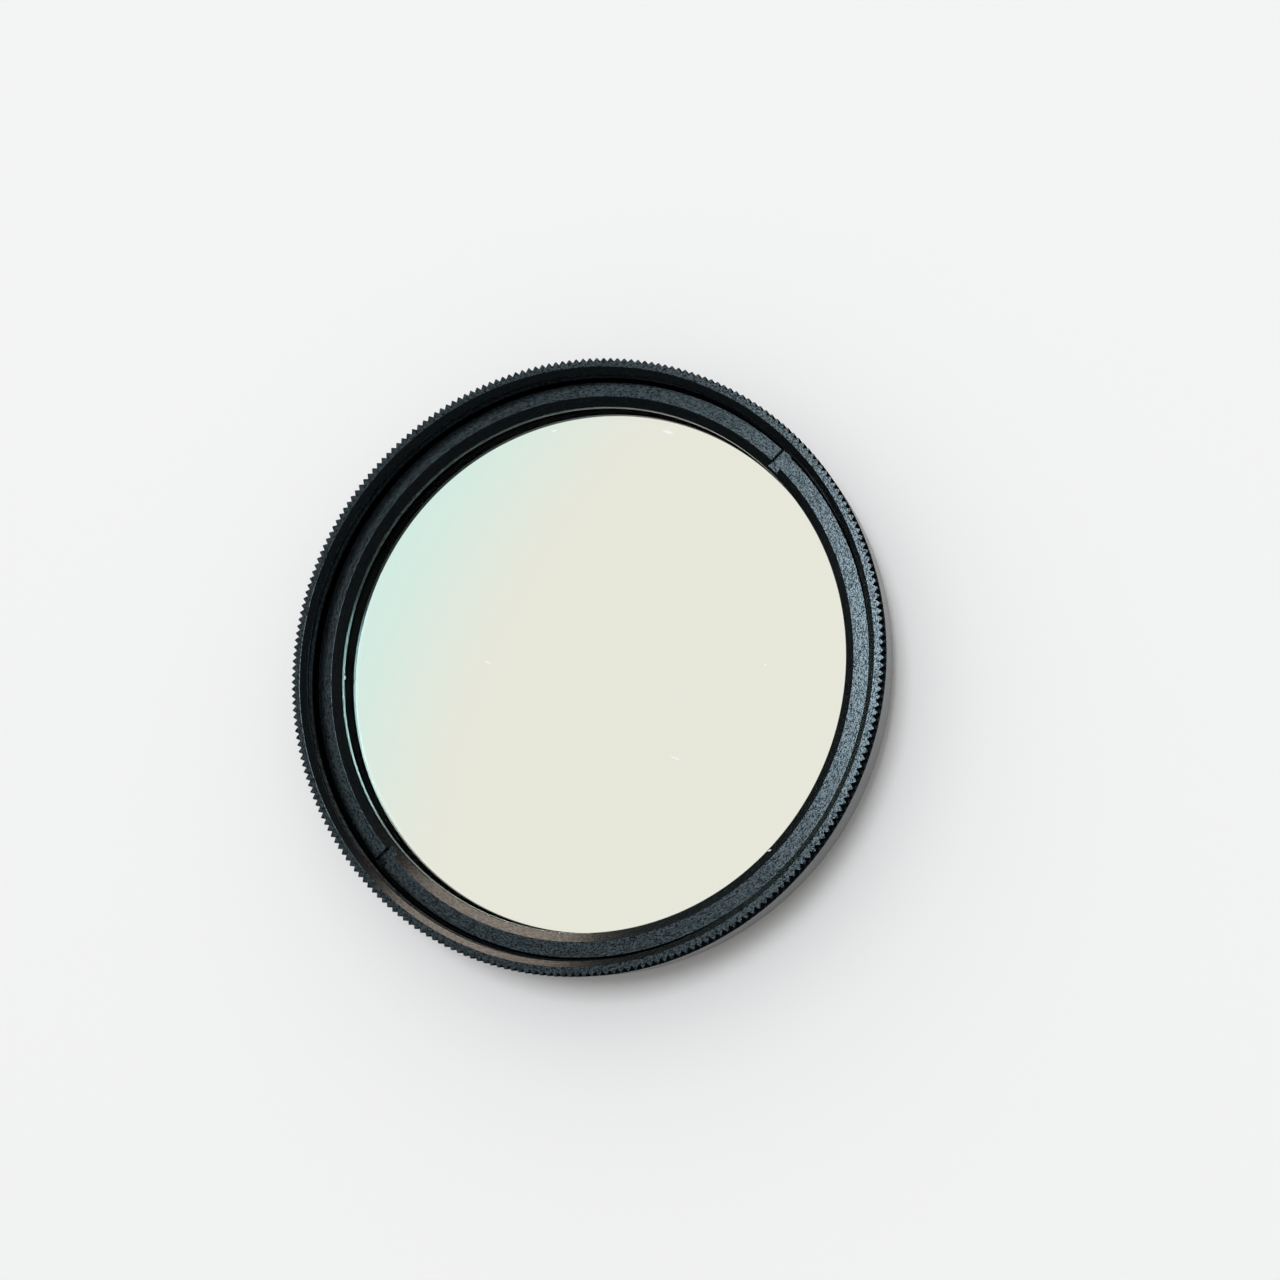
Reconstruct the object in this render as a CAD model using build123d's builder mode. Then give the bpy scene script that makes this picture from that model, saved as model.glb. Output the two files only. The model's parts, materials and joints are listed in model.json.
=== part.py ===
"""Screw-in lens filter: a knurled cell, a coated glass disc and a slotted retaining ring.

Millimetres. +Z is the optical axis and points to the front of the filter, away from the lens.
The origin lies on the axis at the end of the rear thread.
"""

import os
from math import cos, pi, sin

from build123d import *

# Filter thread M48 x 0.75, front and rear, drawn plain
thread_diameter = 48.0
thread_depth = 0.406
thread_allowance = 0.02

# Rim of the cell, outside the thread
rim_wall = 0.75
rim_height = 4.7
rim_edge_chamfer = 0.12

# Straight knurl round the top of the rim
knurl_teeth = 261
knurl_height = 1.4
knurl_depth = 0.32
knurl_land = 0.07

# Front thread, plain at its minor diameter, with a relief groove at its end
front_thread_depth = 2.32
front_chamfer = 0.42
front_relief_width = 0.52
front_relief_depth = 0.45

# Rear thread, plain at its major diameter
rear_thread_length = 2.3
rear_chamfer = 0.4
relief_width = 0.45
relief_depth = 0.5

# Retaining ring, smaller than the front thread that it passes through
ring_entry_clearance = 0.154
ring_thread_clearance = 0.05
ring_height = 1.08
ring_edge_chamfer = 0.12
ring_face_width = 1.19
ring_bevel_width = 0.7
ring_lip_height = 0.58

# Spanner slots across the retaining ring
slot_count = 2
slot_width = 1.0
slot_depth = 0.6

# Glass disc, its pocket and its seat
pocket_shoulder = 0.35
glass_clearance = 0.1
glass_thickness = 1.35
glass_edge_chamfer = 0.15
clamp_gap = 0.1
seat_height = 0.3
seat_width = 0.9
rear_aperture_chamfer = 0.3

# Radii, from the thread outwards and inwards
thread_r = thread_diameter / 2
rim_r = thread_r + rim_wall
knurl_root_r = rim_r - knurl_depth
front_bore_r = thread_r - thread_depth
front_mouth_r = front_bore_r + front_chamfer
front_relief_r = front_bore_r + front_relief_depth
rear_thread_r = thread_r - thread_allowance
relief_r = rear_thread_r - relief_depth
ring_r = front_bore_r - ring_entry_clearance
ring_bore_r = ring_r + ring_thread_clearance
ring_face_outer_r = ring_r - ring_edge_chamfer
ring_face_inner_r = ring_face_outer_r - ring_face_width
ring_lip_r = ring_face_inner_r - ring_bevel_width
pocket_r = ring_bore_r - pocket_shoulder
glass_r = pocket_r - glass_clearance
rear_aperture_r = pocket_r - seat_width

# Heights, from the end of the rear thread upwards
top_z = rear_thread_length + rim_height
knurl_z = top_z - knurl_height
front_step_z = top_z - front_thread_depth
seat_z = rear_thread_length + seat_height
glass_top_z = seat_z + glass_thickness
pocket_top_z = glass_top_z - clamp_gap
ring_top_z = glass_top_z + ring_height

os.makedirs("parts", exist_ok=True)


def knurl_outline():
    """Corners of the knurl seen from the front: both ends of each tooth's land, then the root after it."""
    pitch = 2 * pi / knurl_teeth
    half_land = knurl_land / (2 * rim_r)
    corners = []
    for tooth in range(knurl_teeth):
        middle = tooth * pitch
        corners.append((rim_r, middle - half_land))
        corners.append((rim_r, middle + half_land))
        corners.append((knurl_root_r, middle + pitch / 2))
    return [(radius * cos(angle), radius * sin(angle)) for radius, angle in corners]


# Filter cell: the turned body first, then the knurl on its top
with BuildPart() as filter_cell:
    with BuildSketch(Plane.XZ):
        with BuildLine():
            Polyline(
                (rear_aperture_r + rear_aperture_chamfer, 0),
                (rear_thread_r - rear_chamfer, 0),
                (rear_thread_r, rear_chamfer),
                (rear_thread_r, rear_thread_length - relief_width),
                (relief_r, rear_thread_length - relief_width),
                (relief_r, rear_thread_length),
                (rim_r - rim_edge_chamfer, rear_thread_length),
                (rim_r, rear_thread_length + rim_edge_chamfer),
                (rim_r, knurl_z),
                (knurl_root_r, knurl_z),
                (knurl_root_r, top_z),
                (front_mouth_r, top_z),
                (front_bore_r, top_z - front_chamfer),
                (front_bore_r, front_step_z + front_relief_width),
                (front_relief_r, front_step_z + front_relief_width),
                (front_relief_r, front_step_z),
                (ring_bore_r, front_step_z),
                (ring_bore_r, pocket_top_z),
                (pocket_r, pocket_top_z),
                (pocket_r, seat_z),
                (rear_aperture_r, seat_z),
                (rear_aperture_r, rear_aperture_chamfer),
                close=True,
            )
        make_face()
    revolve(axis=Axis.Z)
    with BuildSketch(Plane.XY.offset(knurl_z)):
        with BuildLine():
            Polyline(*knurl_outline(), close=True)
        make_face()
        Circle((knurl_root_r + front_mouth_r) / 2, mode=Mode.SUBTRACT)
    extrude(amount=knurl_height)

# Coated glass disc
with BuildPart() as filter_glass:
    with BuildSketch(Plane.XY.offset(seat_z)):
        Circle(glass_r)
    extrude(amount=glass_thickness)
    chamfer(filter_glass.edges().filter_by(GeomType.CIRCLE), length=glass_edge_chamfer)

# Retaining ring, with spanner slots cut through its face and its bevel
with BuildPart() as retaining_ring:
    with BuildSketch(Plane.XZ):
        with BuildLine():
            Polyline(
                (ring_lip_r, glass_top_z),
                (ring_r, glass_top_z),
                (ring_r, ring_top_z - ring_edge_chamfer),
                (ring_face_outer_r, ring_top_z),
                (ring_face_inner_r, ring_top_z),
                (ring_lip_r, glass_top_z + ring_lip_height),
                close=True,
            )
        make_face()
    revolve(axis=Axis.Z)
    with BuildSketch(Plane.XY.offset(ring_top_z)):
        with PolarLocations((ring_r + ring_lip_r) / 2, slot_count):
            Rectangle(2 * (ring_r - ring_lip_r), slot_width)
    extrude(amount=-slot_depth, mode=Mode.SUBTRACT)

filter_cell.part.label = "filter_cell"
filter_glass.part.label = "filter_glass"
retaining_ring.part.label = "retaining_ring"

export_step(filter_cell.part, "parts/filter_cell.step")
export_step(filter_glass.part, "parts/filter_glass.step")
export_step(retaining_ring.part, "parts/retaining_ring.step")
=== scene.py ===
"""Screw-in lens filter: detailed meshes, finishes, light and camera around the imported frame.

Metres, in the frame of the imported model: +Z is the optical axis and points to the front of the filter.
"""

import json
from math import atan2, cos, degrees, hypot, pi, radians, sin, tau

import bmesh
import bpy
from bpy.props import FloatProperty, FloatVectorProperty, IntProperty, PointerProperty
from mathutils import Matrix, Vector


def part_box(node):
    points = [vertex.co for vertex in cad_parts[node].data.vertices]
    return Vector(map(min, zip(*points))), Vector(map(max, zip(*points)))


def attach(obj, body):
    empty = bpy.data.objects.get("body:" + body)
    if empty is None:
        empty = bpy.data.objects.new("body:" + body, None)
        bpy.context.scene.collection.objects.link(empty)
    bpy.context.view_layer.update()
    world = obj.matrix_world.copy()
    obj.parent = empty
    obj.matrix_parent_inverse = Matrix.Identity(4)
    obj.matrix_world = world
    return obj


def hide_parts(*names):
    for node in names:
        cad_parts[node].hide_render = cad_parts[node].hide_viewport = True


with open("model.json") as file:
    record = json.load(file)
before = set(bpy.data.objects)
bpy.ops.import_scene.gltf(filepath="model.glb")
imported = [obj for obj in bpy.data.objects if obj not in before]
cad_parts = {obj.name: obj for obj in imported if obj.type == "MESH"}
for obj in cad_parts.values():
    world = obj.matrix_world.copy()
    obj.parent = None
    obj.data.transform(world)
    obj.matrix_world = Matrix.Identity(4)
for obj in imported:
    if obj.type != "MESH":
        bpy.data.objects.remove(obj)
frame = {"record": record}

bl_info = {
    "name": "Lens Filter",
    "version": (1, 0, 0),
    "blender": (4, 5, 0),
    "location": "View3D > Sidebar > Lens Filter",
    "description": "Models and finishes a screw-in lens filter around its packed frame",
    "category": "Add Mesh",
}

MM = 0.001
AXIS = (0.0, 0.0, 1.0)
ORIGIN = (0.0, 0.0, 0.0)
WELD = 0.001 * MM

# An edge is sharp past this angle, or where one of its faces is this many times the other's area
SHARP_ANGLE = radians(34)
SHARP_AREAS = 4

# Share that counts as the whole where rounding takes a little away
NEARLY = 0.99

# Places of the finishes in a metal piece's list of materials
# The matt and turned finishes are darker copies of the satin metal: painted shade in recesses, under the ring
# and on slopes and walls
SATIN, MATT_SHADED, TURNED_SHADED = range(3)

# Heights of a face's normal between which the face is a slope
UPRIGHT = 0.3
LEVEL = 0.9

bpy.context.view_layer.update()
CELL_LOW, CELL_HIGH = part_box("filter_cell")
GLASS_LOW, GLASS_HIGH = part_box("filter_glass")
RING_LOW, RING_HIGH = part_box("retaining_ring")
MOUNT_RADIUS = {
    mount["name"]: mount["dims"]["r_mm"] * MM
    for mount in frame["record"]["mounts"]
    if "r_mm" in mount["dims"]
}


def length(name, description, metres):
    """A length that a user may change, shown in the scene's unit."""
    return FloatProperty(name=name, description=description, default=metres, unit="LENGTH", precision=5)


def rotation(name, description, angle):
    """An angle that a user may change, from degrees."""
    return FloatProperty(name=name, description=description, default=radians(angle), unit="ROTATION")


def count(name, description, number, least):
    """A whole number that a user may change."""
    return IntProperty(name=name, description=description, default=number, min=least)


def colour(name, description, code):
    """A colour that a user may change, from an sRGB hex code."""
    return FloatVectorProperty(
        name=name,
        description=description,
        default=linear(code),
        size=4,
        min=0.0,
        max=1.0,
        subtype="COLOR",
    )


def linear(code):
    """Linear RGBA of an sRGB hex code such as #1c1d1f."""
    channels = [int(code[i : i + 2], 16) / 255 for i in (1, 3, 5)]
    return (*[c / 12.92 if c <= 0.04045 else ((c + 0.055) / 1.055) ** 2.4 for c in channels], 1.0)


class CellSettings(bpy.types.PropertyGroup):
    """Sizes of the cell, the turned ring that holds everything."""

    rim_radius: length("Rim radius", "Outside of the plain band and of the knurl's lands", CELL_HIGH.x)
    top: length("Top", "Height of the front face", CELL_HIGH.z)
    rim_underside: length("Rim underside", "Height of the shoulder above the rear thread", 2.3 * MM)
    rim_chamfer: length("Rim chamfer", "Chamfer under the rim", 0.12 * MM)
    knurl_teeth: count("Knurl teeth", "Teeth round the rim", 261, 3)
    knurl_height: length("Knurl height", "Height of the knurl below the front face", 1.4 * MM)
    knurl_depth: length("Knurl depth", "Depth of a groove between two teeth", 0.32 * MM)
    knurl_land: length("Knurl land", "Width of a tooth at its tip", 0.07 * MM)
    knurl_runout: length("Knurl run-out", "Height over which a groove ends at the plain band", 0.03 * MM)
    thread_pitch: length("Thread pitch", "Pitch of the front and the rear thread", 0.75 * MM)
    front_bore: length("Front bore", "Minor radius of the front thread", MOUNT_RADIUS["front_thread"])
    front_groove: length("Front groove", "Depth of the front thread's groove", 0.406 * MM)
    front_depth: length("Front depth", "Depth of the front recess", 2.32 * MM)
    front_chamfer: length("Front chamfer", "Lead-in chamfer at the mouth", 0.42 * MM)
    front_relief_width: length("Front relief width", "Height of the groove below the thread", 0.52 * MM)
    front_relief_depth: length("Front relief depth", "Depth of that groove from the bore", 0.45 * MM)
    rear_radius: length("Rear radius", "Major radius of the rear thread", MOUNT_RADIUS["rear_thread"])
    rear_groove: length("Rear groove", "Depth of the rear thread's groove", 0.46 * MM)
    rear_chamfer: length("Rear chamfer", "Chamfer at the end of the rear thread", 0.4 * MM)
    rear_relief_width: length("Rear relief width", "Height of the groove above the thread", 0.45 * MM)
    rear_relief_depth: length("Rear relief depth", "Depth of that groove", 0.5 * MM)
    ring_bore: length("Ring bore", "Radius of the bore round the retaining ring", RING_HIGH.x + 0.05 * MM)
    pocket_radius: length("Pocket radius", "Radius of the pocket round the glass", GLASS_HIGH.x + 0.1 * MM)
    pocket_top: length("Pocket top", "Height of the pocket's edge", GLASS_HIGH.z - 0.1 * MM)
    seat_width: length("Seat width", "Width of the shoulder under the glass", 0.9 * MM)
    aperture_chamfer: length("Aperture chamfer", "Chamfer behind the rear aperture", 0.3 * MM)
    edge_round: length("Edge round", "Radius of the broken edges", 0.025 * MM)
    rows_per_pitch: count("Rows per pitch", "Mesh rows in one turn of a thread", 11, 4)


class RingSettings(bpy.types.PropertyGroup):
    """Sizes of the retaining ring."""

    edge_chamfer: length("Edge chamfer", "Chamfer outside the front face", 0.12 * MM)
    face_width: length("Face width", "Width of the front face", 1.19 * MM)
    bevel_width: length("Bevel width", "Width of the slope from the face to the glass", 0.7 * MM)
    lip_height: length("Lip height", "Height of the upright lip at the glass", 0.5 * MM)
    lip_round: length("Lip round", "Radius between the slope and the lip", 0.1 * MM)
    lip_segments: count("Lip segments", "Mesh segments across that round", 5, 1)
    seat_gap: length("Seat gap", "Film of air between the ring and the glass", 0.01 * MM)
    slot_width: length("Slot width", "Width of a spanner slot", 1.0 * MM)
    slot_depth: length("Slot depth", "Depth of a spanner slot", 0.38 * MM)
    edge_round: length("Edge round", "Radius of the broken edges", 0.015 * MM)
    segments: count("Segments", "Mesh segments round the ring", 360, 12)


class GlassSettings(bpy.types.PropertyGroup):
    """Sizes and colours of the coated glass."""

    edge_chamfer: length("Edge chamfer", "Chamfer round both faces", 0.15 * MM)
    segments: count("Segments", "Mesh segments round the disc", 360, 12)
    straight_tint: colour("Straight tint", "Colour that the coating reflects seen straight on", "#f2efe1")
    slanted_tint: colour("Slanted tint", "Colour that the coating reflects seen at a slant", "#dcf4ea")


class DustSettings(bpy.types.PropertyGroup):
    """Sizes of the dust on the retaining ring."""

    fleck_width: length("Fleck width", "Width of a fleck of dust", 0.18 * MM)
    fleck_height: length("Fleck height", "Height of a fleck above the metal", 0.04 * MM)


class FinishSettings(bpy.types.PropertyGroup):
    """Colours and grain of the metal."""

    black_low: colour("Black low", "Darker tone of the satin metal's reflection", "#0d1112")
    black_high: colour("Black high", "Lighter tone of the satin metal's reflection", "#40494d")
    # Turned tones, darker than the satin ones: painted shade on the slopes and walls
    turned_shade_low: colour("Turned low", "Darker tone of the turned metal's reflection", "#1a1e20")
    turned_shade_high: colour("Turned high", "Lighter tone of the turned metal's reflection", "#23282a")
    # Matt tones, darker than the satin ones: painted shade in the knurl's grooves, the bore's thread and
    # under the ring
    matt_shade_low: colour("Matt low", "Darker tone of the knurl's reflection", "#0d1011")
    matt_shade_high: colour("Matt high", "Lighter tone of the knurl's reflection", "#2a3034")
    grain: length("Grain", "Size of the blasted grain", 0.105 * MM)
    relief: length("Relief", "Height of the grain", 0.006 * MM)
    turning: length("Turning", "Spacing of the fine turning lines", 0.1 * MM)
    turning_length: length("Turning length", "Length of a fine turning line", 0.3 * MM)


class StageSettings(bpy.types.PropertyGroup):
    """Camera and floor."""

    distance: length("Distance", "From the camera to the middle of the front face", 128.7 * MM)
    tilt: rotation("Tilt", "Of the view from the axis", 22.03)
    turn: rotation("Turn", "Of the view round the axis", -69.73)
    roll: rotation("Roll", "Of the camera round its own view", -59.76)
    aim_x: length("Aim X", "Point of the front face in the middle of the picture", 4.943 * MM)
    aim_y: length("Aim Y", "Point of the front face in the middle of the picture", -3.059 * MM)
    lens: FloatProperty(name="Lens", description="Focal length in millimetres", default=45.74)
    floor_radius: length("Floor radius", "Radius of the floor", 1.0)
    floor_colour: colour("Floor colour", "Colour of the floor", "#f3f3f3")


SETTINGS = {
    "filter_cell_settings": CellSettings,
    "filter_ring_settings": RingSettings,
    "filter_glass_settings": GlassSettings,
    "filter_dust_settings": DustSettings,
    "filter_finish_settings": FinishSettings,
    "filter_stage_settings": StageSettings,
}


# Mesh helpers


def polar(co):
    """Radius and angle of a point round the optical axis."""
    return hypot(co.x, co.y), atan2(co.y, co.x)


def set_radius(vert, radius):
    """Moves a vertex straight out from the axis, or in, to this radius."""
    factor = radius / hypot(vert.co.x, vert.co.y)
    vert.co.x *= factor
    vert.co.y *= factor


def draw_section(bm, places):
    """Closed wire through these places in the plane of +X and +Z."""
    verts = [bm.verts.new(place) for place in places]
    for pair in zip(verts, verts[1:] + verts[:1]):
        bm.edges.new(pair)
    return verts


def divide_stretch(bm, middle, row):
    """Divides the wire's edge at this middle into rows of about this height."""
    edge = min(bm.edges, key=lambda e: ((e.verts[0].co + e.verts[1].co) / 2 - middle).length)
    rows = round(abs(edge.verts[1].co.z - edge.verts[0].co.z) / row)
    bmesh.ops.subdivide_edges(bm, edges=[edge], cuts=rows - 1)


def round_corners(bm, verts, radius, segments=2):
    """Breaks the corners of a wire, as a turned edge is broken."""
    bmesh.ops.bevel(
        bm,
        geom=verts,
        offset=radius,
        offset_type="OFFSET",
        affect="VERTICES",
        segments=segments,
        profile=0.5,
        material=-1,
    )


def turn(bm, geom, angle, steps=1, **options):
    """Spins geometry round the optical axis and returns its last copy."""
    made = bmesh.ops.spin(
        bm, geom=geom, cent=ORIGIN, axis=AXIS, dvec=ORIGIN, angle=angle, steps=steps, **options
    )
    return made["geom_last"]


def close_mesh(bm):
    """Welds the seams and points every face outwards."""
    bmesh.ops.remove_doubles(bm, verts=bm.verts, dist=WELD)
    bmesh.ops.recalc_face_normals(bm, faces=bm.faces)


def new_object(name, bm, materials=()):
    """Object with this mesh, in the scene."""
    mesh = bpy.data.meshes.new(name)
    bm.to_mesh(mesh)
    bm.free()
    for material in materials:
        mesh.materials.append(material)
    made = bpy.data.objects.new(name, mesh)
    bpy.context.scene.collection.objects.link(made)
    return made


def shade(bm):
    """Smooth shading, sharp at corners and beside a narrow face so that a broad one stays true."""
    for face in bm.faces:
        face.smooth = True
    for edge in bm.edges:
        areas = sorted(face.calc_area() for face in edge.link_faces)
        edge.smooth = edge.calc_face_angle(0.0) < SHARP_ANGLE and areas[0] > areas[-1] / SHARP_AREAS


def add_piece(name, bm, node, materials):
    """Makes the piece's object, which rides on the part and stands for a node where one is named."""
    shade(bm)
    piece = new_object(name, bm, materials)
    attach(piece, "root")
    if node:
        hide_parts(node)


# Materials

# Tones begin and end at these heights of the mottle, and this share of it is turning lines
MOTTLE_RANGE = (0.42, 0.58)
BLASTED_LINES = 0.4
TURNED_LINES = 0.9

# Roughness of the metal's finishes, and the tints that they take at a grazing angle; the dark tint is painted
# shade that keeps the knurl, the bore's thread and the ring's underside dark
SATIN_ROUGHNESS = 0.23
MATT_ROUGHNESS = 0.55
BRIGHT_EDGE = "#ffffff"
SHADED_EDGE = "#2a2a2a"

# Glass, the haze on it, and how far its coating slants before the colour turns
GLASS_IOR = 1.52
GLASS_GLINT = "#404040"
HAZE_SIZE = 6 * MM
HAZE_RANGE = (0.35, 0.75)
HAZE_ROUGHNESS = (0.0, 0.02)
COATING_ROUGHNESS = 0.02
SLANT_RANGE = (0.036, 0.056)

# Marks on the coating as (x, y, length, width, turn): millimetres, and degrees from +X
MARKS = (
    (-5.97, 6.39, 0.9, 0.16, -70),
    (0.16, -10.76, 1.1, 0.18, -66),
    (10.44, -10.54, 0.3, 0.2, 10),
    (18.0, 9.4, 1.3, 0.35, 118),
    (11.4, 16.9, 0.7, 0.2, 146),
)

# Shares of a mark's reach between which it fades in, from its edge to its core
MARK_FADE = (1.0, 0.3)

# Lint and the board under the filter
TUFT_SIZE = 0.05 * MM
LINT_ROUGHNESS = 0.9
TOOTH_SIZE = 0.6 * MM
TOOTH_HEIGHT = 0.02 * MM
TOOTH_STRENGTH = 0.2
BOARD_ROUGHNESS = 0.85


def add_node(tree, kind, inputs, **settings):
    """Adds a node with its settings; an input is a value or the socket that feeds it."""
    node = tree.nodes.new(kind)
    for key, value in settings.items():
        setattr(node, key, value)
    for socket, value in inputs.items():
        if isinstance(value, bpy.types.NodeSocket):
            tree.links.new(value, node.inputs[socket])
        else:
            node.inputs[socket].default_value = value
    return node


def add_math(tree, operation, first, second):
    """Result of one step of arithmetic."""
    return add_node(tree, "ShaderNodeMath", {0: first, 1: second}, operation=operation).outputs["Value"]


def add_range(tree, value, before, after=(0.0, 1.0), **settings):
    """A value moved from the range before to the range after, and held inside it."""
    limits = {"From Min": before[0], "From Max": before[1], "To Min": after[0], "To Max": after[1]}
    return add_node(tree, "ShaderNodeMapRange", {"Value": value, **limits}, **settings).outputs["Result"]


def add_noise(tree, vector, size, **inputs):
    """Soft noise from 0 to 1 with lumps of about this size."""
    noise = add_node(tree, "ShaderNodeTexNoise", {"Vector": vector, "Scale": 1 / size, **inputs})
    return noise.outputs["Fac"]


def add_blend(tree, share, first, second):
    """Colour between two others."""
    mix = add_node(tree, "ShaderNodeMix", {"Factor": share, "A": first, "B": second}, data_type="RGBA")
    return mix.outputs[2]


def add_coords(tree):
    """Coordinates of the piece in its own frame."""
    return add_node(tree, "ShaderNodeTexCoord", {}).outputs["Object"]


def add_surface(tree, inputs):
    """Principled surface with these inputs, joined to the output of the material."""
    shader = add_node(tree, "ShaderNodeBsdfPrincipled", inputs)
    output = tree.nodes.new("ShaderNodeOutputMaterial")
    tree.links.new(shader.outputs["BSDF"], output.inputs["Surface"])


def new_material(name):
    """Empty node material and its tree."""
    material = bpy.data.materials.new(name)
    material.use_nodes = True
    material.node_tree.nodes.clear()
    return material, material.node_tree


def anodised_mottle(tree, finish, line_share):
    """Mottle of the dyed layer from 0 to 1: blasted grain and this share of short turning lines."""
    coords = add_coords(tree)
    grain = add_noise(tree, coords, finish.grain, Detail=2.0, Roughness=0.6)
    flat = add_node(tree, "ShaderNodeVectorMath", {0: coords, 1: (1.0, 1.0, 0.0)}, operation="MULTIPLY")
    radius = add_node(tree, "ShaderNodeVectorMath", {0: flat.outputs["Vector"]}, operation="LENGTH")
    parts = add_node(tree, "ShaderNodeSeparateXYZ", {"Vector": coords}).outputs
    angle = add_math(tree, "ARCTAN2", parts["Y"], parts["X"])
    across = add_math(tree, "MULTIPLY", radius.outputs["Value"], 1 / finish.turning)
    along = add_math(tree, "MULTIPLY", angle, CELL_HIGH.x / finish.turning_length)
    up = add_math(tree, "MULTIPLY", parts["Z"], 1 / finish.turning)
    wound = add_node(tree, "ShaderNodeCombineXYZ", {"X": across, "Y": along, "Z": up}).outputs["Vector"]
    lines = add_noise(tree, wound, 1.0, Detail=1.0)
    mix = add_node(
        tree, "ShaderNodeMix", {"Factor": line_share, "A": grain, "B": lines}, data_type="FLOAT"
    )
    return mix.outputs["Result"]


def anodised(name, finish, tones, roughness, edge, line_share):
    """Black anodised aluminium with these two tones, this roughness and this tint at a grazing angle."""
    material, tree = new_material(name)
    mottle = anodised_mottle(tree, finish, line_share)
    share = add_range(tree, mottle, MOTTLE_RANGE)
    bump = add_node(tree, "ShaderNodeBump", {"Height": mottle, "Strength": 1.0, "Distance": finish.relief})
    add_surface(
        tree,
        {
            "Base Color": add_blend(tree, share, tuple(tones[0]), tuple(tones[1])),
            "Metallic": 1.0,
            "Roughness": roughness,
            "Specular Tint": linear(edge),
            "Normal": bump.outputs["Normal"],
        },
    )
    return material


def satin_anodised(name, finish):
    """Turned and lightly blasted faces: a satin blue-black that sparkles with fine grain in the light."""
    tones = (finish.black_low, finish.black_high)
    return anodised(name, finish, tones, SATIN_ROUGHNESS, BRIGHT_EDGE, BLASTED_LINES)


def turned_shaded_anodised(name, finish):
    """Turned slopes and walls: a smooth deep black with faint lines round the axis, bright only in a lamp;
    its tones, darker than the satin ones, are painted shade on the slopes and walls.
    """
    tones = (finish.turned_shade_low, finish.turned_shade_high)
    return anodised(name, finish, tones, SATIN_ROUGHNESS, BRIGHT_EDGE, TURNED_LINES)


def matt_shaded_anodised(name, finish):
    """Knurled, threaded and hidden faces: a duller, deeper black that stays dark at a grazing angle; its
    deeper tones and dark grazing tint are painted shade in the grooves, the bore and under the ring.
    """
    tones = (finish.matt_shade_low, finish.matt_shade_high)
    return anodised(name, finish, tones, MATT_ROUGHNESS, SHADED_EDGE, BLASTED_LINES)


def metal_finishes(piece, finish):
    """The three finishes of a metal piece, in the order of their places: satin, then matt and turned, which
    are darker copies that paint shade.
    """
    return [
        satin_anodised(f"satin_anodised_{piece}", finish),
        matt_shaded_anodised(f"matt_shaded_anodised_{piece}", finish),
        turned_shaded_anodised(f"turned_shaded_anodised_{piece}", finish),
    ]


def polished_glass():
    """Plane polished optical glass: clear, with a faint film of haze left by wiping."""
    material, tree = new_material("polished_optical_glass")
    haze = add_noise(tree, add_coords(tree), HAZE_SIZE, Detail=3.0)
    add_surface(
        tree,
        {
            "Base Color": linear("#ffffff"),
            "Roughness": add_range(tree, haze, HAZE_RANGE, HAZE_ROUGHNESS),
            "IOR": GLASS_IOR,
            "Specular Tint": linear(GLASS_GLINT),
            "Transmission Weight": 1.0,
        },
    )
    return material


def coating_marks(tree):
    """Share of wiping marks in the coating, from 0 to 1: short soft streaks."""
    coords = add_coords(tree)
    marked = 0.0
    for x, y, long, wide, turned in MARKS:
        place = add_node(
            tree,
            "ShaderNodeMapping",
            {
                "Vector": coords,
                "Location": (x * MM, y * MM, GLASS_LOW.z),
                "Rotation": (0.0, 0.0, radians(turned)),
                "Scale": (long * MM / 2, wide * MM / 2, 1.0),
            },
            vector_type="TEXTURE",
        ).outputs["Vector"]
        reach = add_node(tree, "ShaderNodeVectorMath", {0: place}, operation="LENGTH").outputs["Value"]
        marked = add_math(tree, "MAXIMUM", add_range(tree, reach, MARK_FADE), marked)
    return marked


def dichroic_coating(glass):
    """Vacuum-deposited interference coating behind the glass.

    To the eye: a mirror that is cream seen straight on and turns pale teal at a slant, with a few
    whitish marks left by wiping.
    """
    material, tree = new_material("dichroic_mirror_coating")
    slant = add_node(tree, "ShaderNodeLayerWeight", {"Blend": 0.5}).outputs["Facing"]
    share = add_range(tree, slant, SLANT_RANGE, interpolation_type="SMOOTHSTEP")
    tint = add_blend(tree, share, tuple(glass.straight_tint), tuple(glass.slanted_tint))
    wiped = add_blend(tree, coating_marks(tree), tint, linear("#ffffff"))
    add_surface(tree, {"Base Color": wiped, "Metallic": 1.0, "Roughness": COATING_ROUGHNESS})
    return material


def cotton_lint():
    """Short fibres and skin of dust: pale, matt and slightly uneven."""
    material, tree = new_material("cotton_lint")
    tufts = add_noise(tree, add_coords(tree), TUFT_SIZE)
    tone = add_blend(tree, tufts, linear("#c9cdca"), linear("#ffffff"))
    add_surface(tree, {"Base Color": tone, "Roughness": LINT_ROUGHNESS})
    return material


def matt_white_board(stage):
    """Painted board under the filter: even, matt and nearly white."""
    material, tree = new_material("matt_white_board")
    tooth = add_noise(tree, add_coords(tree), TOOTH_SIZE, Detail=2.0)
    bump = add_node(
        tree, "ShaderNodeBump", {"Height": tooth, "Strength": TOOTH_STRENGTH, "Distance": TOOTH_HEIGHT}
    )
    add_surface(
        tree,
        {
            "Base Color": tuple(stage.floor_colour),
            "Roughness": BOARD_ROUGHNESS,
            "Specular IOR Level": 0.0,
            "Normal": bump.outputs["Normal"],
        },
    )
    return material


# Cell


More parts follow.
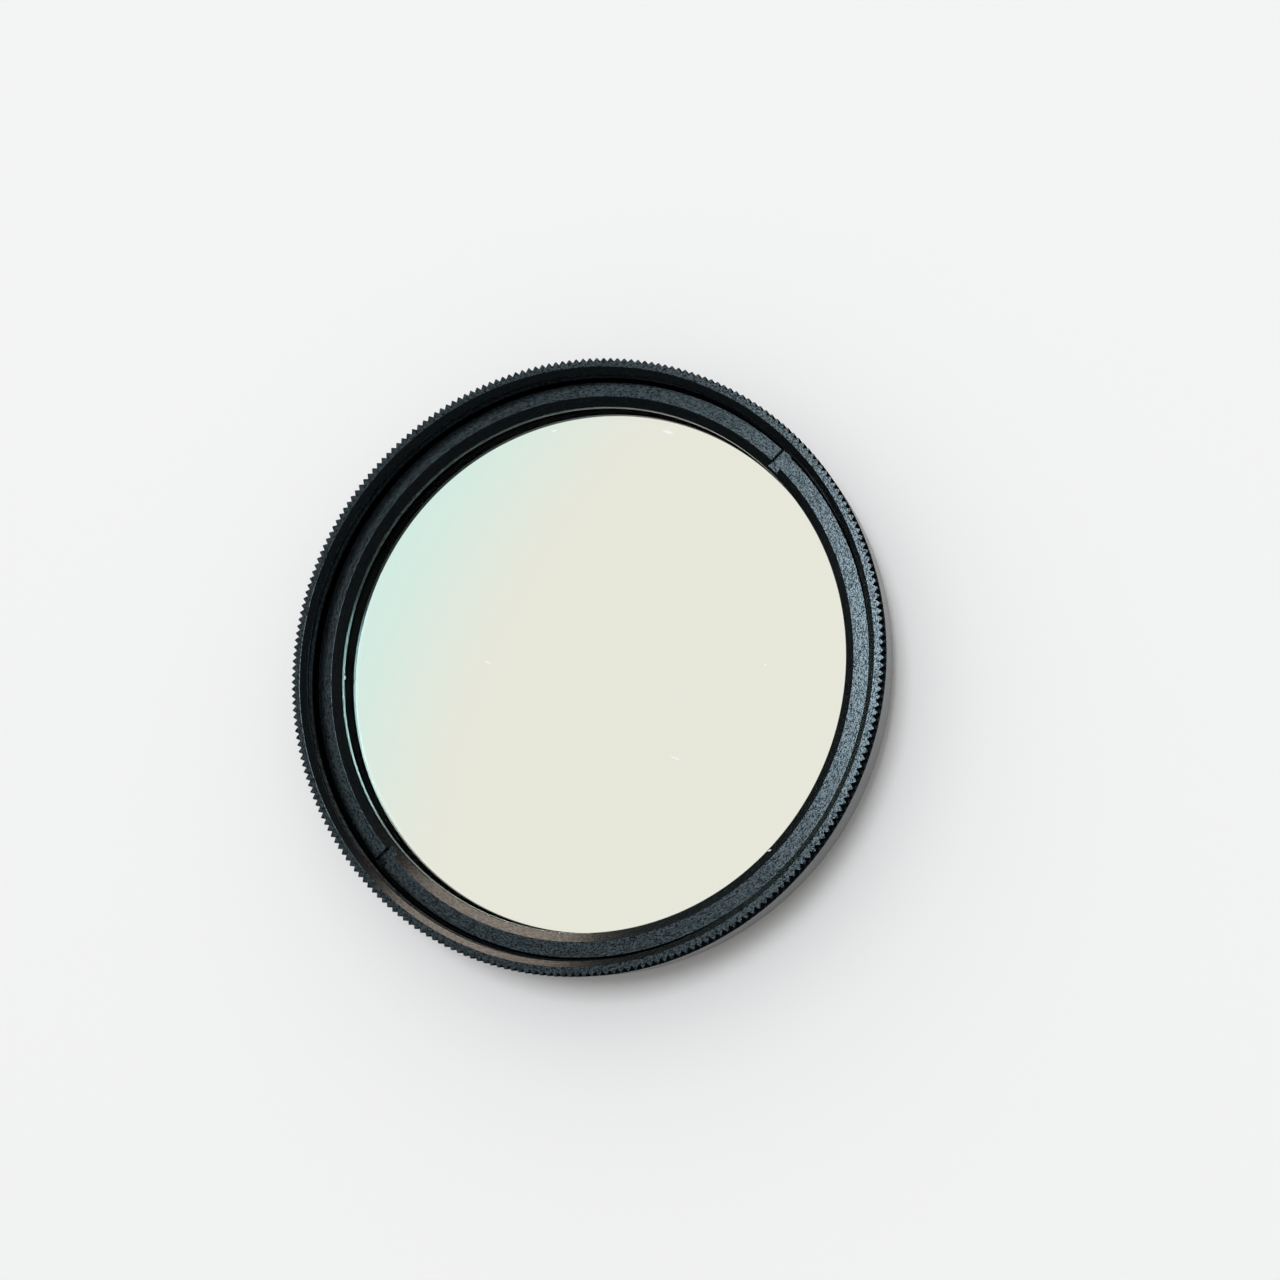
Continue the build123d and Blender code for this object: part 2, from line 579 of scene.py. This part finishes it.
def cell_corners(cell):
    """Corners of the cell's section as (name, radius, height), from the rear face round the outside."""
    rear = CELL_LOW.z
    mouth = cell.front_bore + cell.front_chamfer
    bore_top = cell.top - cell.front_chamfer
    step = cell.top - cell.front_depth
    relief = cell.front_bore + cell.front_relief_depth
    relief_top = step + cell.front_relief_width
    thread_top = cell.rim_underside - cell.rear_relief_width
    rear_relief = cell.rear_radius - cell.rear_relief_depth
    aperture = cell.pocket_radius - cell.seat_width
    knurl_end = cell.top - cell.knurl_height
    return [
        ("rear inner", aperture + cell.aperture_chamfer, rear),
        ("rear outer", cell.rear_radius - cell.rear_chamfer, rear),
        ("rear thread start", cell.rear_radius, rear + cell.rear_chamfer),
        ("rear thread end", cell.rear_radius, thread_top),
        ("rear relief bottom", rear_relief, thread_top),
        ("rear relief top", rear_relief, cell.rim_underside),
        ("rim under", cell.rim_radius - cell.rim_chamfer, cell.rim_underside),
        ("rim low", cell.rim_radius, cell.rim_underside + cell.rim_chamfer),
        ("knurl end", cell.rim_radius, knurl_end),
        ("knurl start", cell.rim_radius, knurl_end + cell.knurl_runout),
        ("rim top", cell.rim_radius, cell.top),
        ("mouth", mouth, cell.top),
        ("front thread start", cell.front_bore, bore_top),
        ("front thread end", cell.front_bore, relief_top),
        ("front relief top", relief, relief_top),
        ("front relief bottom", relief, step),
        ("ring bore top", cell.ring_bore, step),
        ("ring bore bottom", cell.ring_bore, cell.pocket_top),
        ("pocket top", cell.pocket_radius, cell.pocket_top),
        ("pocket bottom", cell.pocket_radius, GLASS_LOW.z),
        ("seat", aperture, GLASS_LOW.z),
        ("aperture", aperture, rear + cell.aperture_chamfer),
    ]


ROUNDED_CORNERS = (
    "rear inner",
    "rim under",
    "rim low",
    "rim top",
    "mouth",
    "ring bore top",
    "seat",
    "aperture",
)
THREAD_STRETCHES = (
    ("rear outer", "rear thread start"),
    ("rear thread start", "rear thread end"),
    ("front thread start", "front thread end"),
)

# Flats of a metric thread at its major and its minor diameter, as shares of the pitch
MAJOR_FLAT = 0.125
MINOR_FLAT = 0.25


def groove_share(height, angle, pitch, crest, root):
    """Depth of a right-hand thread's groove at this place, from 0 on the crest to 1 at the root."""
    phase = (height / pitch - angle / tau) % 1.0
    from_root = abs(phase - 0.5)
    flank = (1.0 - crest - root) / 2
    share = 1.0 - (from_root - root / 2) / flank
    return min(1.0, max(0.0, share))


def cut_threads(bm, cell):
    """Moves the rows of the two thread zones out or in along the helix, and dulls the front one: its matt
    finish is painted shade in the bore.
    """
    relief_top = cell.top - cell.front_depth + cell.front_relief_width
    bore_top = cell.top - cell.front_chamfer
    rear_end = cell.rim_underside - cell.rear_relief_width
    rear_inner = cell.rear_radius - cell.rear_chamfer
    for face in bm.faces:
        place = face.calc_center_median()
        if relief_top < place.z < bore_top and polar(place)[0] < cell.front_bore + WELD:
            face.material_index = MATT_SHADED
    for vert in bm.verts:
        radius, angle = polar(vert.co)
        height = vert.co.z
        if relief_top - WELD < height < bore_top - WELD and radius < cell.front_bore + WELD:
            share = groove_share(height, angle, cell.thread_pitch, crest=MINOR_FLAT, root=MAJOR_FLAT)
            set_radius(vert, max(radius, cell.front_bore + cell.front_groove * share))
        elif height < rear_end + WELD and radius > rear_inner - WELD:
            share = groove_share(height, angle, cell.thread_pitch, crest=MAJOR_FLAT, root=MINOR_FLAT)
            set_radius(vert, min(radius, cell.rear_radius - cell.rear_groove * share))


def cut_knurl(bm, cell, pitch):
    """Sinks the two sides of one tooth's sector to the root of the knurl."""
    end = cell.top - cell.knurl_height
    start = end + cell.knurl_runout
    for vert in bm.verts:
        radius, angle = polar(vert.co)
        outside = radius > cell.rim_radius - 2 * cell.edge_round
        if outside and vert.co.z > start - WELD and abs(angle) > pitch / 2 * NEARLY:
            set_radius(vert, radius - cell.knurl_depth)
    root = cell.rim_radius - cell.knurl_depth - WELD
    front = cell.top - cell.edge_round / 2
    # The knurl takes the matt finish: painted shade in its grooves
    for face in bm.faces:
        heights = [vert.co.z for vert in face.verts]
        outside = min(polar(vert.co)[0] for vert in face.verts) > root
        knurled = outside and min(heights) > end - WELD and max(heights) < front
        face.material_index = MATT_SHADED if knurled else SATIN


def mark_turned_shade(bm, cell):
    """Gives the turned finish, whose darker tones are painted shade, to what is neither the front face nor
    dull.
    """
    for face in bm.faces:
        front = face.normal.z > LEVEL and face.calc_center_median().z > cell.top - cell.edge_round
        if not front and face.material_index == SATIN:
            face.material_index = TURNED_SHADED


def build_cell(cell):
    """Mesh of the cell: one tooth's sector of its section, turned round once for every tooth."""
    bm = bmesh.new()
    corners = cell_corners(cell)
    places = {name: Vector((radius, 0.0, height)) for name, radius, height in corners}
    verts = dict(zip(places, draw_section(bm, places.values())))
    round_corners(bm, [verts[name] for name in ROUNDED_CORNERS], cell.edge_round)
    for first, last in THREAD_STRETCHES:
        divide_stretch(bm, (places[first] + places[last]) / 2, cell.thread_pitch / cell.rows_per_pitch)

    pitch = tau / cell.knurl_teeth
    land = cell.knurl_land / cell.rim_radius
    flank = (pitch - land) / 2
    bmesh.ops.rotate(bm, verts=bm.verts, cent=ORIGIN, matrix=Matrix.Rotation(-pitch / 2, 3, "Z"))
    last = bm.verts[:] + bm.edges[:]
    for angle in (flank, land, flank):
        last = turn(bm, last, angle)
    cut_knurl(bm, cell, pitch)
    sector = bm.verts[:] + bm.edges[:] + bm.faces[:]
    turn(bm, sector, tau - pitch, cell.knurl_teeth - 1, use_duplicate=True)
    close_mesh(bm)
    cut_threads(bm, cell)
    bmesh.ops.recalc_face_normals(bm, faces=bm.faces)
    mark_turned_shade(bm, cell)
    return bm


# Retaining ring


def build_ring(ring):
    """Mesh of the plain retaining ring, before its slots are cut."""
    bm = bmesh.new()
    face_outer = RING_HIGH.x - ring.edge_chamfer
    face_inner = face_outer - ring.face_width
    lip = face_inner - ring.bevel_width
    low = RING_LOW.z + ring.seat_gap
    corners = [
        (lip, low),
        (RING_HIGH.x, low),
        (RING_HIGH.x, RING_HIGH.z - ring.edge_chamfer),
        (face_outer, RING_HIGH.z),
        (face_inner, RING_HIGH.z),
        (lip, RING_LOW.z + ring.lip_height),
    ]
    verts = draw_section(bm, [(radius, 0.0, height) for radius, height in corners])
    round_corners(bm, verts[2:-1], ring.edge_round)
    round_corners(bm, verts[-1:], ring.lip_round, ring.lip_segments)
    turn(bm, bm.verts[:] + bm.edges[:], tau, ring.segments, use_merge=True)
    close_mesh(bm)
    return bm


def build_slot_cutter(ring):
    """Bar along X, longer than the ring and half sunk in its face, that cuts both spanner slots."""
    bm = bmesh.new()
    size = Vector((4 * RING_HIGH.x, ring.slot_width, 2 * ring.slot_depth))
    place = Matrix.Translation((0.0, 0.0, RING_HIGH.z)) @ Matrix.Diagonal((*size, 1.0))
    bmesh.ops.create_cube(bm, size=1.0, matrix=place)
    return bm


def cut_slots(bm, ring):
    """Cuts the slots out of the plain ring, sets the finishes and returns the slotted mesh."""
    plain = new_object("plain_ring", bm)
    cutter = new_object("slot_cutter", build_slot_cutter(ring))
    cut = plain.modifiers.new("Slots", "BOOLEAN")
    cut.operation = "DIFFERENCE"
    cut.solver = "EXACT"
    cut.object = cutter
    slotted = bmesh.new()
    slotted.from_object(plain, bpy.context.evaluated_depsgraph_get())
    for used in (plain, cutter):
        bpy.data.meshes.remove(used.data)
    for face in slotted.faces:
        # The underside takes the matt finish: painted shade under the ring
        if face.normal.z < -LEVEL:
            face.material_index = MATT_SHADED
        # Slopes take the turned finish: painted shade
        elif UPRIGHT < face.normal.z < LEVEL:
            face.material_index = TURNED_SHADED
        else:
            face.material_index = SATIN
    return slotted


# Glass


def build_glass(glass):
    """Mesh of the disc; its rear face takes the second material."""
    bm = bmesh.new()
    place = Matrix.Translation((0.0, 0.0, GLASS_LOW.z))
    bmesh.ops.create_circle(
        bm, cap_ends=True, segments=glass.segments, radius=GLASS_HIGH.x, matrix=place
    )
    top = bmesh.ops.extrude_face_region(bm, geom=bm.faces[:])["geom"]
    verts = [item for item in top if isinstance(item, bmesh.types.BMVert)]
    bmesh.ops.translate(bm, verts=verts, vec=(0.0, 0.0, GLASS_HIGH.z - GLASS_LOW.z))
    rims = [edge for edge in bm.edges if abs(edge.verts[0].co.z - edge.verts[1].co.z) < WELD]
    bmesh.ops.bevel(
        bm,
        geom=rims,
        offset=glass.edge_chamfer,
        offset_type="OFFSET",
        affect="EDGES",
        segments=1,
        profile=0.5,
        material=-1,
    )
    close_mesh(bm)
    for face in bm.faces:
        face.material_index = int(face.normal.z < -NEARLY)
    return bm


# Dust

# Flecks on the retaining ring's lip and bevel as (angle round the axis, height, length, turn):
# degrees and millimetres
FLECKS = (
    (137.8, 4.02, 0.34, 90),
    (-87.6, 4.62, 0.5, 35),
)

# Lean of a fleck against the ring
FLECK_LEAN = radians(-55)


def build_dust(dust, ring):
    """Mesh of the flecks, each a small flattened ball that lies against the ring."""
    bm = bmesh.new()
    lip = RING_HIGH.x - ring.edge_chamfer - ring.face_width - ring.bevel_width
    lip_top = RING_LOW.z + ring.lip_height
    slope = ring.bevel_width / (RING_HIGH.z - lip_top)
    for angle, height, size, turned in FLECKS:
        outwards = lip + max(0.0, height * MM - lip_top) * slope
        stretch = Matrix.Diagonal((size * MM / 2, dust.fleck_width / 2, dust.fleck_height / 2, 1.0))
        leaned = Matrix.Rotation(FLECK_LEAN, 4, "Y") @ Matrix.Rotation(radians(turned), 4, "Z")
        place = Matrix.Translation((outwards - dust.fleck_height, 0.0, height * MM))
        around = Matrix.Rotation(radians(angle), 4, "Z")
        matrix = around @ place @ leaned @ stretch
        bmesh.ops.create_icosphere(bm, subdivisions=2, radius=1.0, matrix=matrix)
    return bm


# Stage

FLOOR_SEGMENTS = 96

# Bright ceiling that the glass mirrors, as (turn, tilt), and how far it reaches: degrees
CEILING = (110, 22)
CEILING_FULL = 18
CEILING_END = 52
CEILING_GLOW = 0.93

# Bright wall by the window, in the same form
WINDOW = (106, 78)
WINDOW_FULL = 24
WINDOW_END = 46
WINDOW_GLOW = 0.95

# Walls round the rest: dim in the metal, paler in the glass
WALL_GLOW = 0.34
WALL_GLOW_IN_GLASS = 0.75

# Sky that lights the floor: its middle as (turn, tilt) in degrees, and its glow square to that and there
SKY = (56, 50)
SKY_GLOW = (0.3, 1.02)

# Tints of the sky, of the room that is mirrored and of the backdrop behind the floor
SKY_COLOUR = "#fefdfb"
ROOM_COLOUR = "#fbfeff"
BACKDROP_COLOUR = "#f3f3f3"

# Soft lamps as (name, turn, tilt, distance, width, height, radiance, colour): degrees and metres
LAMPS = (("overhead_softbox", 46.5, 11.0, 1.2, 0.372, 0.348, 14.2, "#f8fbff"),)

# Cards that only show as reflections in the metal and the glass, in the same form
REFLECTORS = (
    ("warm_reflector", 49.5, 75, 1.0, 0.66, 0.46, 16.0, "#ffd8c0"),
    ("cool_reflector", -6.5, 26, 0.5, 0.32, 0.09, 10.0, "#d9f3f8"),
)

# Camera: width of its sensor in millimetres, and the nearest and farthest that it sees
SENSOR_WIDTH = 36.0
NEAREST = 1 * MM
FARTHEST = 10.0


def add_floor(stage):
    """Round floor that the rear thread stands on."""
    bm = bmesh.new()
    bmesh.ops.create_circle(bm, cap_ends=True, segments=FLOOR_SEGMENTS, radius=stage.floor_radius)
    bmesh.ops.recalc_face_normals(bm, faces=bm.faces)
    new_object("floor", bm, [matt_white_board(stage)])


def direction(turn_degrees, tilt_degrees):
    """Unit vector at this angle round the axis from +X and this tilt from the axis."""
    turned = radians(turn_degrees)
    tilted = radians(tilt_degrees)
    return Vector((sin(tilted) * cos(turned), sin(tilted) * sin(turned), cos(tilted)))


def add_lamps(rows, lights_floor):
    """Rectangular soft lamps that face the filter.

    One that lights the floor stays out of what the coating mirrors. The others show in the glass and the
    metal alone.
    """
    for name, turn_degrees, tilt_degrees, distance, width, height, radiance, code in rows:
        light = bpy.data.lights.new(name, "AREA")
        light.shape = "RECTANGLE"
        light.size = width
        light.size_y = height
        light.color = linear(code)[:3]
        light.energy = radiance * pi * width * height
        lamp = bpy.data.objects.new(name, light)
        lamp.visible_diffuse = lights_floor
        lamp.visible_transmission = not lights_floor
        back = direction(turn_degrees, tilt_degrees)
        lamp.location = back * distance
        lamp.rotation_euler = back.to_track_quat("Z", "Y").to_euler()
        bpy.context.scene.collection.objects.link(lamp)


def add_nearness(tree, ray, place):
    """How closely a ray points to a place given as (turn, tilt): 1 where it hits, 0 square to it."""
    product = add_node(
        tree, "ShaderNodeVectorMath", {0: ray, 1: direction(*place)}, operation="DOT_PRODUCT"
    )
    return product.outputs["Value"]


def add_glow(tree, ray, place, full, end, strength):
    """Glow of the room along a ray: bright round one place, then fading to the dim walls."""
    nearness = add_nearness(tree, ray, place)
    reach = (cos(radians(end)), cos(radians(full)))
    return add_range(tree, nearness, reach, (WALL_GLOW, strength), interpolation_type="SMOOTHSTEP")


def add_background(tree, code, strength):
    """Light of this colour and strength from all round."""
    background = add_node(tree, "ShaderNodeBackground", {"Color": linear(code), "Strength": strength})
    return background.outputs["Background"]


def add_world():
    """Pale backdrop to the camera, a room that metal and glass mirror, and a soft sky for the rest."""
    world = bpy.data.worlds.new("studio")
    world.use_nodes = True
    bpy.context.scene.world = world
    tree = world.node_tree
    tree.nodes.clear()
    path = add_node(tree, "ShaderNodeLightPath", {}).outputs
    mirrored = add_math(tree, "MAXIMUM", path["Is Glossy Ray"], path["Is Transmission Ray"])
    ray = add_node(tree, "ShaderNodeTexCoord", {}).outputs["Generated"]
    above = add_glow(tree, ray, CEILING, CEILING_FULL, CEILING_END, CEILING_GLOW)
    beside = add_glow(tree, ray, WINDOW, WINDOW_FULL, WINDOW_END, WINDOW_GLOW)
    in_glass = add_math(tree, "MULTIPLY", path["Is Transmission Ray"], WALL_GLOW_IN_GLASS)
    glow = add_math(tree, "MAXIMUM", add_math(tree, "MAXIMUM", above, beside), in_glass)
    sky = add_range(tree, add_nearness(tree, ray, SKY), (0.0, 1.0), SKY_GLOW)
    fill = add_background(tree, SKY_COLOUR, sky)
    room = add_background(tree, ROOM_COLOUR, glow)
    backdrop = add_background(tree, BACKDROP_COLOUR, 1.0)
    around = add_node(tree, "ShaderNodeMixShader", {0: mirrored, 1: fill, 2: room}).outputs["Shader"]
    seen = add_node(tree, "ShaderNodeMixShader", {0: path["Is Camera Ray"], 1: around, 2: backdrop})
    output = tree.nodes.new("ShaderNodeOutputWorld")
    tree.links.new(seen.outputs["Shader"], output.inputs["Surface"])


def add_camera(stage):
    """Camera at the viewing angle of the photograph."""
    camera = bpy.data.cameras.new("camera")
    camera.sensor_width = SENSOR_WIDTH
    camera.lens = stage.lens
    camera.clip_start = NEAREST
    camera.clip_end = FARTHEST
    view = bpy.data.objects.new("camera", camera)
    middle = Vector((0.0, 0.0, CELL_HIGH.z))
    place = middle + direction(degrees(stage.turn), degrees(stage.tilt)) * stage.distance
    aim = Vector((stage.aim_x, stage.aim_y, CELL_HIGH.z))
    facing = (aim - place).to_track_quat("-Z", "Y").to_matrix()
    rolled = facing @ Matrix.Rotation(stage.roll, 3, "Z")
    view.location = place
    view.rotation_euler = rolled.to_euler()
    bpy.context.scene.collection.objects.link(view)
    bpy.context.scene.camera = view


# Operators


class LENSFILTER_OT_build_cell(bpy.types.Operator):
    """Model the knurled cell with its threads"""

    bl_idname = "lens_filter.build_cell"
    bl_label = "Cell"

    def execute(self, context):
        finish = context.scene.filter_finish_settings
        bm = build_cell(context.scene.filter_cell_settings)
        add_piece("cell", bm, "filter_cell", metal_finishes("cell", finish))
        return {"FINISHED"}


class LENSFILTER_OT_build_ring(bpy.types.Operator):
    """Model the retaining ring with its spanner slots"""

    bl_idname = "lens_filter.build_ring"
    bl_label = "Retaining Ring"

    def execute(self, context):
        settings = context.scene.filter_ring_settings
        finish = context.scene.filter_finish_settings
        bm = cut_slots(build_ring(settings), settings)
        add_piece("retainer", bm, "retaining_ring", metal_finishes("ring", finish))
        return {"FINISHED"}


class LENSFILTER_OT_build_glass(bpy.types.Operator):
    """Model the coated glass disc"""

    bl_idname = "lens_filter.build_glass"
    bl_label = "Glass"

    def execute(self, context):
        settings = context.scene.filter_glass_settings
        materials = [polished_glass(), dichroic_coating(settings)]
        add_piece("glass", build_glass(settings), "filter_glass", materials)
        return {"FINISHED"}


class LENSFILTER_OT_add_dust(bpy.types.Operator):
    """Scatter a few flecks of dust on the retaining ring"""

    bl_idname = "lens_filter.add_dust"
    bl_label = "Dust"

    def execute(self, context):
        bm = build_dust(context.scene.filter_dust_settings, context.scene.filter_ring_settings)
        add_piece("dust", bm, None, [cotton_lint()])
        return {"FINISHED"}


class LENSFILTER_OT_set_stage(bpy.types.Operator):
    """Set up the floor, the light and the camera"""

    bl_idname = "lens_filter.set_stage"
    bl_label = "Stage"

    def execute(self, context):
        settings = context.scene.filter_stage_settings
        context.scene.view_settings.view_transform = "Standard"
        add_floor(settings)
        add_lamps(LAMPS, lights_floor=True)
        add_lamps(REFLECTORS, lights_floor=False)
        add_world()
        add_camera(settings)
        return {"FINISHED"}


OPERATORS = (
    LENSFILTER_OT_build_cell,
    LENSFILTER_OT_build_ring,
    LENSFILTER_OT_build_glass,
    LENSFILTER_OT_add_dust,
    LENSFILTER_OT_set_stage,
)


class LENSFILTER_PT_panel(bpy.types.Panel):
    """Buttons that model the filter, piece by piece"""

    bl_idname = "LENSFILTER_PT_panel"
    bl_label = "Lens Filter"
    bl_space_type = "VIEW_3D"
    bl_region_type = "UI"
    bl_category = "Lens Filter"

    def draw(self, context):
        for operator in OPERATORS:
            self.layout.operator(operator.bl_idname)


def register():
    for settings in SETTINGS.values():
        bpy.utils.register_class(settings)
    for operator in OPERATORS:
        bpy.utils.register_class(operator)
    bpy.utils.register_class(LENSFILTER_PT_panel)
    for name, settings in SETTINGS.items():
        setattr(bpy.types.Scene, name, PointerProperty(type=settings))


def unregister():
    for name in SETTINGS:
        delattr(bpy.types.Scene, name)
    bpy.utils.unregister_class(LENSFILTER_PT_panel)
    for operator in reversed(OPERATORS):
        bpy.utils.unregister_class(operator)
    for settings in reversed(SETTINGS.values()):
        bpy.utils.unregister_class(settings)


def main():
    register()
    bpy.ops.lens_filter.build_cell()
    bpy.ops.lens_filter.build_ring()
    bpy.ops.lens_filter.build_glass()
    bpy.ops.lens_filter.add_dust()
    bpy.ops.lens_filter.set_stage()


if __name__ == "__main__":
    main()
